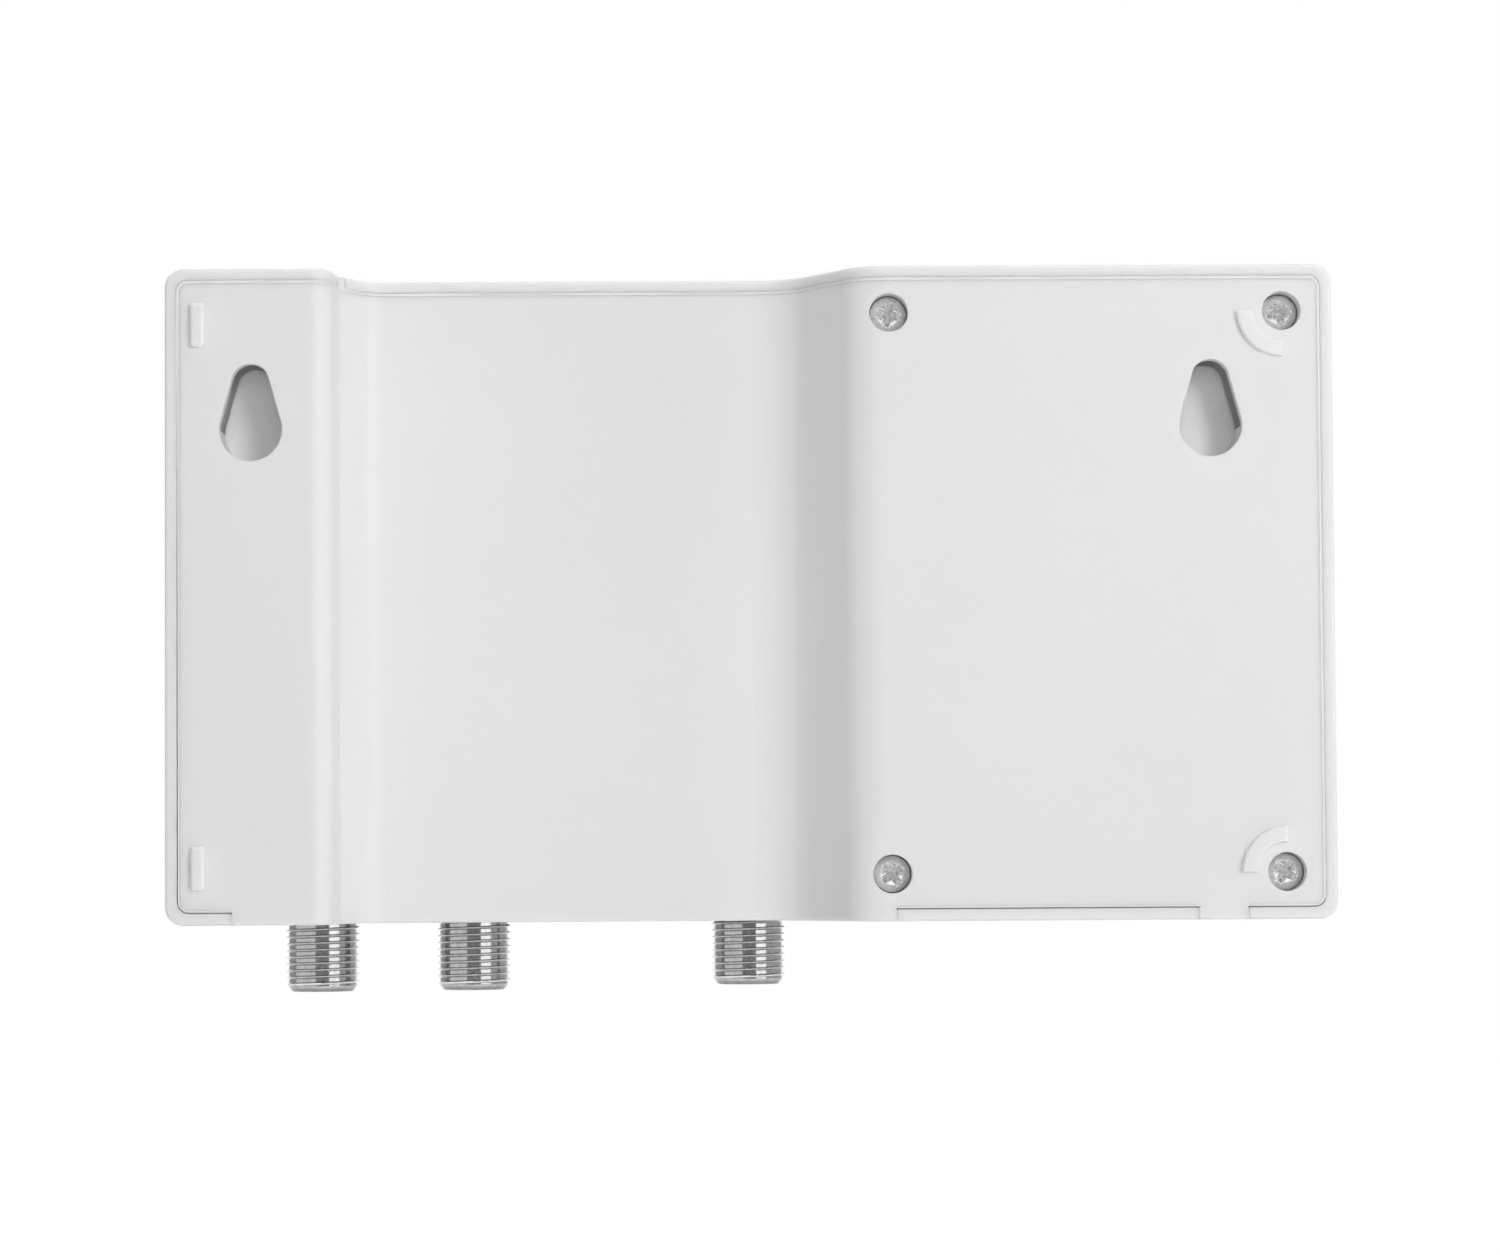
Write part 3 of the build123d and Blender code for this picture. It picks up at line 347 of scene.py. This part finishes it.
def connector_mesh(x, tip):
    """Threaded barrel with a tapered end, a bore, a hexagonal flange and four legs that grip the board."""
    major, depth, pitch, bore = 4.7625, 0.36, 0.866, 3.2
    tip_radius, taper, mouth = 3.95, 0.7, 0.25
    neck_depth, neck_length, runout_slope = 0.05, 0.3, 2.0
    flat_radius, flange_chamfer = 5.5, 0.2
    leg_place, leg_half, leg_overlap, leg_end = 3.6, 0.6, 0.4, 3.5
    crest_fall = 0.6
    relief = major - depth - neck_depth
    segments, rows = 96, 12
    place = (x, CONNECTOR_AXIS_Y)

    def radius_at(phase, z):
        thread = major - depth + depth * thread_height(phase)
        entry = tip_radius + (z - tip) * taper
        runout = relief + (FLANGE_LOW - neck_length - z) * runout_slope
        return min(thread, entry, max(runout, relief))

    def hexagon(angle):
        return flat_radius / cos((angle % (pi / 3)) - pi / 6)

    def build(bm):
        low_end, high_end = helix(bm, place, tip, FLANGE_LOW - neck_length, pitch, radius_at, segments, rows)
        outline = (
            (tip, lambda angle: bore + mouth),
            (tip + mouth, lambda angle: bore),
            (FLANGE_HIGH, lambda angle: bore),
            (FLANGE_HIGH, lambda angle: hexagon(angle) - flange_chamfer),
            (FLANGE_HIGH - flange_chamfer, hexagon),
            (FLANGE_LOW, hexagon),
            (FLANGE_LOW, lambda angle: relief),
        )
        loops = [low_end, *(ring(bm, place, radius_of, z, segments) for z, radius_of in outline), high_end]
        for first, second in zip(loops, loops[1:]):
            bridge(bm, first, second)
        # Mark for the painted shade: 1 on the crests, lower in the roots, 0 further in towards the axis.
        crest = bm.verts.layers.float.new("crest")
        for vert in bm.verts:
            from_axis = ((vert.co.x - x) ** 2 + (vert.co.y - CONNECTOR_AXIS_Y) ** 2) ** 0.5
            vert[crest] = min(max(1 - crest_fall * (major - from_axis) / depth, 0), 1)
        for side in (-1, 1):
            leg_x = x + side * leg_place
            for leg_y in (BOARD_REAR - leg_half, BOARD_FRONT + leg_half):
                small_box(
                    bm, (leg_x - leg_half, leg_y - leg_half, FLANGE_HIGH - leg_overlap),
                    (leg_x + leg_half, leg_y + leg_half, FLANGE_HIGH + leg_end),
                )

    return build


def make_connectors(looks):
    plating = looks["nickel_plating"]
    for side, (x, tip) in CONNECTORS.items():
        name = side + "_connector"
        mesh = connector_mesh(x, tip)
        new_piece(name + "_threaded_barrel", mesh, plating, name + "_barrel")


# Case screws

def recess_depth(x, y, reach, slot, depth):
    """Depth of a cross recess at a place on the head, with sloping walls and ends and a worn floor."""
    wall_run, end_run = 0.22, 0.4
    flare, narrowing = 1.25, 0.35
    floor, hollow, hollow_reach, wear = 0.72, 0.3, 0.55, 0.4
    best = 0.0
    for along, across in ((abs(x), abs(y)), (abs(y), abs(x))):
        wall = (slot / 2 * (flare - narrowing * along / reach) - across) / wall_run
        end = (reach - along) / end_run
        best = max(best, min(wall, end, 1.0))
    centre = hollow * max(0.0, 1 - (x * x + y * y) ** 0.5 / (hollow_reach * reach))
    worn = wear * sin(7.1 * x + 2.3 * y + 0.7) * sin(8.3 * y - 1.9 * x + 1.1)
    return depth * max(best, 0.0) * (floor + centre + worn)


def screw_mesh(x, z, turn):
    """Pan-head screw whose head faces the back, with its recess turned by some degrees."""
    head, reach, slot, depth = 2.3, 1.6, 0.95, 1.15
    dome, edge, dome_power, chamfer = 1.8, 1.05, 4.5, 0.1
    core, thread_rise, pitch, length = 0.92, 0.26, 1.06, 10.0
    point, point_slope, plain, start_slope = 0.05, 0.9, 0.25, 2
    rings, segments, rows = 34, 96, 8

    def head_face(bm):
        """Domed face of the head with its recess, from the centre out, and its outermost loop."""
        centre = bm.verts.new((0, 0, recess_depth(0, 0, reach, slot, depth) - dome))
        before = None
        for step in range(1, rings + 1):
            radius = head * step / rings
            loop = []
            for index in range(segments):
                angle = tau * index / segments
                px, py = radius * cos(angle), radius * sin(angle)
                crown = -dome + (dome - edge) * (radius / head) ** dome_power
                loop.append(bm.verts.new((px, py, crown + recess_depth(px, py, reach, slot, depth))))
            if before is None:
                for index in range(segments):
                    bm.faces.new((centre, loop[index], loop[(index + 1) % segments]))
            else:
                bridge(bm, before, loop)
            before = loop
        return before

    def shank(phase, along):
        thread = core + thread_rise * thread_height(phase)
        tapered = point + max(length - along, 0.0) * point_slope
        return min(thread, tapered, core + max(along - plain, 0.0) * start_slope)

    def build(bm):
        outermost = head_face(bm)
        rim = ring(bm, (0, 0), lambda angle: head, -chamfer, segments)
        seat = ring(bm, (0, 0), lambda angle: head - chamfer, 0, segments)
        top, tip = helix(bm, (0, 0), 0.0, length, pitch, shank, segments // 2, rows)
        bridge(bm, outermost, rim)
        bridge(bm, rim, seat)
        for index in range(0, segments, 2):
            after = (index + 2) % segments
            bm.faces.new((seat[index], seat[index + 1], seat[after], top[after // 2], top[index // 2]))
        bm.faces.new(tip)
        rotate = Matrix.Rotation(radians(turn), 3, "Z")
        face_wall = Matrix.Rotation(-pi / 2, 3, "X")
        for vert in bm.verts:
            vert.co = face_wall @ (rotate @ vert.co) + Vector((x, SCREW_SEAT, z))

    return build


def make_screws(looks):
    smooth_angle = 50

    def build(bm):
        for x, z, turn in SCREW_PLACES:
            one = bmesh.new()
            screw_mesh(x, z, turn)(one)
            mesh = bpy.data.meshes.new("one_screw")
            one.to_mesh(mesh)
            one.free()
            bm.from_mesh(mesh)
            bpy.data.meshes.remove(mesh)

    new_piece("case_screw_set", build, looks["zinc_plating"], "case_screws", smooth_angle)


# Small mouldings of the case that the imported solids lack

def rounded_line(points, radii, steps=10):
    """Points and inward normals along a line whose inner corners are rounded."""
    line = [Vector(points[0])]
    for before, corner, after, radius in zip(points, points[1:], points[2:], radii):
        corner = Vector(corner)
        back = (Vector(before) - corner).normalized()
        ahead = (Vector(after) - corner).normalized()
        half = back.angle(ahead) / 2
        centre = corner + (back + ahead).normalized() * radius / sin(half)
        start = corner + back * radius * cos(half) / sin(half) - centre
        end = corner + ahead * radius * cos(half) / sin(half) - centre
        for step in range(steps + 1):
            line.append(centre + start.slerp(end, step / steps).normalized() * radius)
    line.append(Vector(points[-1]))
    out = []
    for index, place in enumerate(line):
        along = (line[min(index + 1, len(line) - 1)] - line[max(index - 1, 0)]).normalized()
        out.append((place, Vector((-along.y, along.x))))
    return out


def seam_stations():
    """Places along the seam, from the power inlet's tab by the right and the top to the apron's left end.

    Each is an x, a y, a z, the way into the case and the way off its middle.
    """
    wave = rounded_line(WAVE_POINTS, WAVE_RADII)
    high = [(p.x, p.y, n) for p, n in wave if SEAM_LEFT + SEAM_CORNER < p.x < SEAM_RIGHT - SEAM_CORNER]
    corner_steps = 8
    stations = []

    def corner(x, z, start):
        for step in range(corner_steps + 1):
            angle = radians(start + 90 * step / corner_steps)
            out = (cos(angle), sin(angle))
            stations.append((x + SEAM_CORNER * out[0], BLOCK_Y, z + SEAM_CORNER * out[1], INTO_CASE, out))

    stations.append((TAB_ENDS[1], BLOCK_Y, SEAM_LOW, INTO_CASE, (0, -1)))
    corner(SEAM_RIGHT - SEAM_CORNER, SEAM_LOW + SEAM_CORNER, -90)
    corner(SEAM_RIGHT - SEAM_CORNER, SEAM_HIGH - SEAM_CORNER, 0)
    stations.extend((x, y, SEAM_HIGH, normal, (0, 1)) for x, y, normal in reversed(high))
    corner(SEAM_LEFT + SEAM_CORNER, SEAM_HIGH - SEAM_CORNER, 90)
    corner(SEAM_LEFT + SEAM_CORNER, SEAM_LOW + SEAM_CORNER, 180)
    stations.append((APRON_ENDS[0], BLOCK_Y, SEAM_LOW, INTO_CASE, (0, -1)))
    return stations


def seam_depth(out, z):
    """Depth of the lip: nearly flush above, shallow on the right, deeper towards the lower left and below."""
    right, below = 0.12, 0.9
    if out[0] > 0:
        return SEAM_SKIN + right * out[0] + below * max(-out[1], 0)
    return SEAM_SKIN + below * (SEAM_HIGH - z) / (SEAM_HIGH - SEAM_LOW)


def seam_strip(bm, stations, from_gap, to_gap, depth_at, thickness=0.5):
    """Strip along the seam, between two distances out from the middle of the gap."""
    sections = []
    for x, y, z, inward, out in stations:
        depth = depth_at(out, z)
        section = []
        for side, sink in (
            (from_gap, depth), (to_gap, depth), (to_gap, depth + thickness), (from_gap, depth + thickness),
        ):
            section.append(bm.verts.new((
                x + inward.x * sink + side * out[0],
                y + inward.y * sink,
                z + side * out[1],
            )))
        sections.append(section)
    for first, second in zip(sections, sections[1:]):
        bridge(bm, first, second)
    bm.faces.new(sections[0])
    bm.faces.new(sections[-1])


def make_seam_lip(looks):
    """Lip in the seam between cover and shell, with a fill for the rounding of the cover's edge."""
    half_gap = SEAM_GAP / 2
    reach = half_gap + OVERLAP
    end_top, end_foot, end_clearance = 0.2, 0.7, 0.05

    def build(bm):
        between = [(x, BLOCK_Y, SEAM_LOW, INTO_CASE, (0, -1)) for x in (APRON_ENDS[1], TAB_ENDS[0])]
        for line in (seam_stations(), between):
            seam_strip(bm, line, -reach, reach, seam_depth)
            seam_strip(bm, line, -half_gap - COVER_ROUNDING, -half_gap, lambda out, z: SEAM_SKIN)
        for x in APRON_ENDS + TAB_ENDS:
            small_box(
                bm, (x - reach, BLOCK_Y + end_top, CASE_BOTTOM + end_clearance),
                (x + reach, BLOCK_Y + end_foot, SEAM_LOW - SEAM_GAP),
            )

    new_piece("seam_lip", build, looks["lip_plastic"], None)


def keyhole_arch(growth, steps=24):
    """Arch over the narrow end of a keyhole, from the level of its wide end on the right to the left."""
    low, high = KEYHOLE_LOW_RADIUS + growth, KEYHOLE_HIGH_RADIUS + growth
    tilt = (low - high) / KEYHOLE_DROP
    places = [(low, -KEYHOLE_DROP)]
    for step in range(steps + 1):
        angle = tilt + (pi - 2 * tilt) * step / steps
        places.append((high * cos(angle), high * sin(angle)))
    places.append((-low, -KEYHOLE_DROP))
    return places


def make_keyhole_cups(looks):
    """Walls that close each keyhole's well off from the inside of the case."""
    growth, wall, floor = 1.5, 0.8, 0.8
    mouth_y, floor_y = PLATE_UNDERSIDE + OVERLAP, WELL_UNDERSIDE + OVERLAP

    def build(bm):
        for x in KEYHOLES:
            mouth, foot, under, brim = (
                [bm.verts.new((x + px, y, pz)) for px, pz in keyhole_arch(growth + extra)]
                for extra, y in ((0, mouth_y), (0, floor_y), (wall, WELL_UNDERSIDE + floor), (wall, mouth_y))
            )
            last = len(mouth) - 1
            for index in range(last):
                after = index + 1
                bm.faces.new((mouth[index], mouth[after], foot[after], foot[index]))
                bm.faces.new((under[index], under[after], brim[after], brim[index]))
                bm.faces.new((brim[index], brim[after], mouth[after], mouth[index]))
            bm.faces.new(foot)
            bm.faces.new(under)
            for index in (0, last):
                bm.faces.new((mouth[index], foot[index], under[index], brim[index]))
            bm.faces.new((foot[0], foot[-1], under[-1], under[0]))

    # The walls take the darker copy of the case's plastic: painted shade.
    new_piece("keyhole_well_walls", build, looks["shaded_well_plastic"], None)


def make_notch_floor(looks):
    """Small wedge that keeps the notch in the top rim shallow."""
    def build(bm):
        low = [bm.verts.new((x, y, RIM_LOW)) for x, y in NOTCH]
        high = [bm.verts.new((x, y, RIM_HIGH)) for x, y in NOTCH]
        bridge(bm, low, high)
        bm.faces.new(low)
        bm.faces.new(high)

    new_piece("rim_notch_floor", build, looks["lip_plastic"], None)


# Studio: levels by compass, in (degrees right of the camera, level) pairs, and the soft boxes

WALLS = ((-180, 0.8), (-102, 0.8), (-94, 0.0), (96, 0.0), (104, 0.8), (180, 0.8))
PANELS = (
    (-180, 1.0), (-152, 1.0), (-146, 0.5), (-100, 0.5), (-96, 1.2), (-22, 1.2), (-19, 0.3), (25, 0.3),
    (28, 2.5), (60, 2.5), (64, 0.65), (140, 0.65), (150, 1.0), (180, 1.0),
)
CEILING = ((-180, 1.7), (180, 1.7))
CEILING_START, CEILING_FULL = 0.5, 0.62
FLOOR_DROP, FLOOR_SIZE, FLOOR_GLOW = 0.3, 6.0, 0.7
AIM = Vector((0, 0, -0.03))
LAMPS = (
    ("key", (0.36, -0.66, 0.14), 0.2, 0.25, 2.25),
    ("front", (0.02, -0.95, 0.12), 0.4, 0.4, 1.77),
    ("right", (0.75, -0.2, 0.2), 0.4, 0.6, 0.85),
    ("left", (-0.55, -0.5, 0.2), 0.4, 0.6, 0.52),
    ("top", (-0.05, -0.1, 0.8), 0.7, 0.5, 2.3),
)


def area_light(name, place, width, height, power):
    """Soft box aimed at the middle of the case. Metal mirrors the room instead of the box."""
    data = bpy.data.lights.new(name, "AREA")
    data.shape = "RECTANGLE"
    data.size = width
    data.size_y = height
    data.energy = power
    lamp = bpy.data.objects.new(name, data)
    lamp.location = place
    lamp.rotation_euler = (AIM - Vector(place)).to_track_quat("-Z", "Y").to_euler()
    lamp.visible_glossy = False
    bpy.context.scene.collection.objects.link(lamp)


def arithmetic(tree, operation, first, second):
    node = tree.nodes.new("ShaderNodeMath")
    node.operation = operation
    for socket, value in zip(node.inputs, (first, second)):
        if isinstance(value, (int, float)):
            socket.default_value = value
        else:
            link(tree, value, socket)
    return node.outputs["Value"]


def room(tree, turn, stops):
    """Light of the room by compass, from (degrees right of the camera, level) pairs."""
    node = tree.nodes.new("ShaderNodeValToRGB")
    elements = node.color_ramp.elements
    while len(elements) < len(stops):
        elements.new(0.5)
    for element, (degrees, level) in zip(elements, stops):
        element.position = (degrees + 180) / 360
    for element, (degrees, level) in zip(elements, stops):
        element.color = (level, level, level, 1)
    link(tree, turn, node.inputs["Fac"])
    light = tree.nodes.new("ShaderNodeBackground")
    link(tree, node.outputs["Color"], light.inputs["Color"])
    return light.outputs["Background"]


def choose(tree, share, first, second):
    node = tree.nodes.new("ShaderNodeMixShader")
    link(tree, share, node.inputs["Fac"])
    link(tree, first, node.inputs[1])
    link(tree, second, node.inputs[2])
    return node.outputs["Shader"]


def make_world():
    """White to the camera and through clear plastic, panels for metal, and a pale back wall for the rest."""
    world = bpy.data.worlds.new("studio")
    bpy.context.scene.world = world
    world.use_nodes = True
    tree = world.node_tree
    tree.nodes.clear()
    output = tree.nodes.new("ShaderNodeOutputWorld")
    path = tree.nodes.new("ShaderNodeLightPath")
    split = tree.nodes.new("ShaderNodeSeparateXYZ")
    link(tree, tree.nodes.new("ShaderNodeTexCoord").outputs["Generated"], split.inputs["Vector"])
    ahead = arithmetic(tree, "MULTIPLY", split.outputs["Y"], -1.0)
    compass = arithmetic(tree, "ARCTAN2", split.outputs["X"], ahead)
    turn = arithmetic(tree, "ADD", arithmetic(tree, "DIVIDE", compass, tau), 0.5)
    walls = room(tree, turn, WALLS)
    overhead = tree.nodes.new("ShaderNodeMapRange")
    overhead.inputs["From Min"].default_value = CEILING_START
    overhead.inputs["From Max"].default_value = CEILING_FULL
    link(tree, split.outputs["Z"], overhead.inputs["Value"])
    panels = choose(tree, overhead.outputs["Result"], room(tree, turn, PANELS), room(tree, turn, CEILING))
    white = tree.nodes.new("ShaderNodeBackground")
    white.inputs["Color"].default_value = (1, 1, 1, 1)
    direct = arithmetic(tree, "MAXIMUM", path.outputs["Is Camera Ray"], path.outputs["Is Transmission Ray"])
    lit = choose(tree, path.outputs["Is Glossy Ray"], walls, panels)
    link(tree, choose(tree, direct, lit, white.outputs["Background"]), output.inputs["Surface"])


def make_floor(height):
    """Plain pale floor: matt, with a little of its own white for the camera, metal and clear plastic."""
    bm = bmesh.new()
    bmesh.ops.create_grid(bm, x_segments=1, y_segments=1, size=FLOOR_SIZE)
    mesh = bpy.data.meshes.new("floor")
    bm.to_mesh(mesh)
    bm.free()
    floor = bpy.data.objects.new("floor", mesh)
    floor.location = (0, 0, height)
    bpy.context.scene.collection.objects.link(floor)
    material = bpy.data.materials.new("floor")
    material.use_nodes = True
    tree = material.node_tree
    shader = tree.nodes["Principled BSDF"]
    coords = tree.nodes.new("ShaderNodeTexCoord").outputs["Object"]
    tone = noise(tree, coords, 3.0, detail=3.0)
    link(tree, ramp(tree, tone, (0.86, 0.86, 0.86), (0.88, 0.88, 0.88)), shader.inputs["Base Color"])
    shader.inputs["Roughness"].default_value = 0.9
    shader.inputs["Specular IOR Level"].default_value = 0.1
    path = tree.nodes.new("ShaderNodeLightPath")
    seen = arithmetic(tree, "MAXIMUM", path.outputs["Is Camera Ray"], path.outputs["Is Glossy Ray"])
    seen = arithmetic(tree, "MAXIMUM", seen, path.outputs["Is Transmission Ray"])
    glow = tree.nodes.new("ShaderNodeEmission")
    link(tree, arithmetic(tree, "MULTIPLY", seen, FLOOR_GLOW), glow.inputs["Strength"])
    add = tree.nodes.new("ShaderNodeAddShader")
    link(tree, shader.outputs["BSDF"], add.inputs[0])
    link(tree, glow.outputs["Emission"], add.inputs[1])
    link(tree, add.outputs["Shader"], tree.nodes["Material Output"].inputs["Surface"])
    mesh.materials.append(material)


def make_studio():
    make_world()
    make_floor(cad_box[0][2] - FLOOR_DROP)
    for lamp in LAMPS:
        area_light(*lamp)


looks = make_materials()
dress_nodes(looks)
make_connectors(looks)
make_screws(looks)
make_seam_lip(looks)
make_keyhole_cups(looks)
make_notch_floor(looks)
set_camera()
make_studio()
bpy.context.scene.view_settings.view_transform = "Standard"
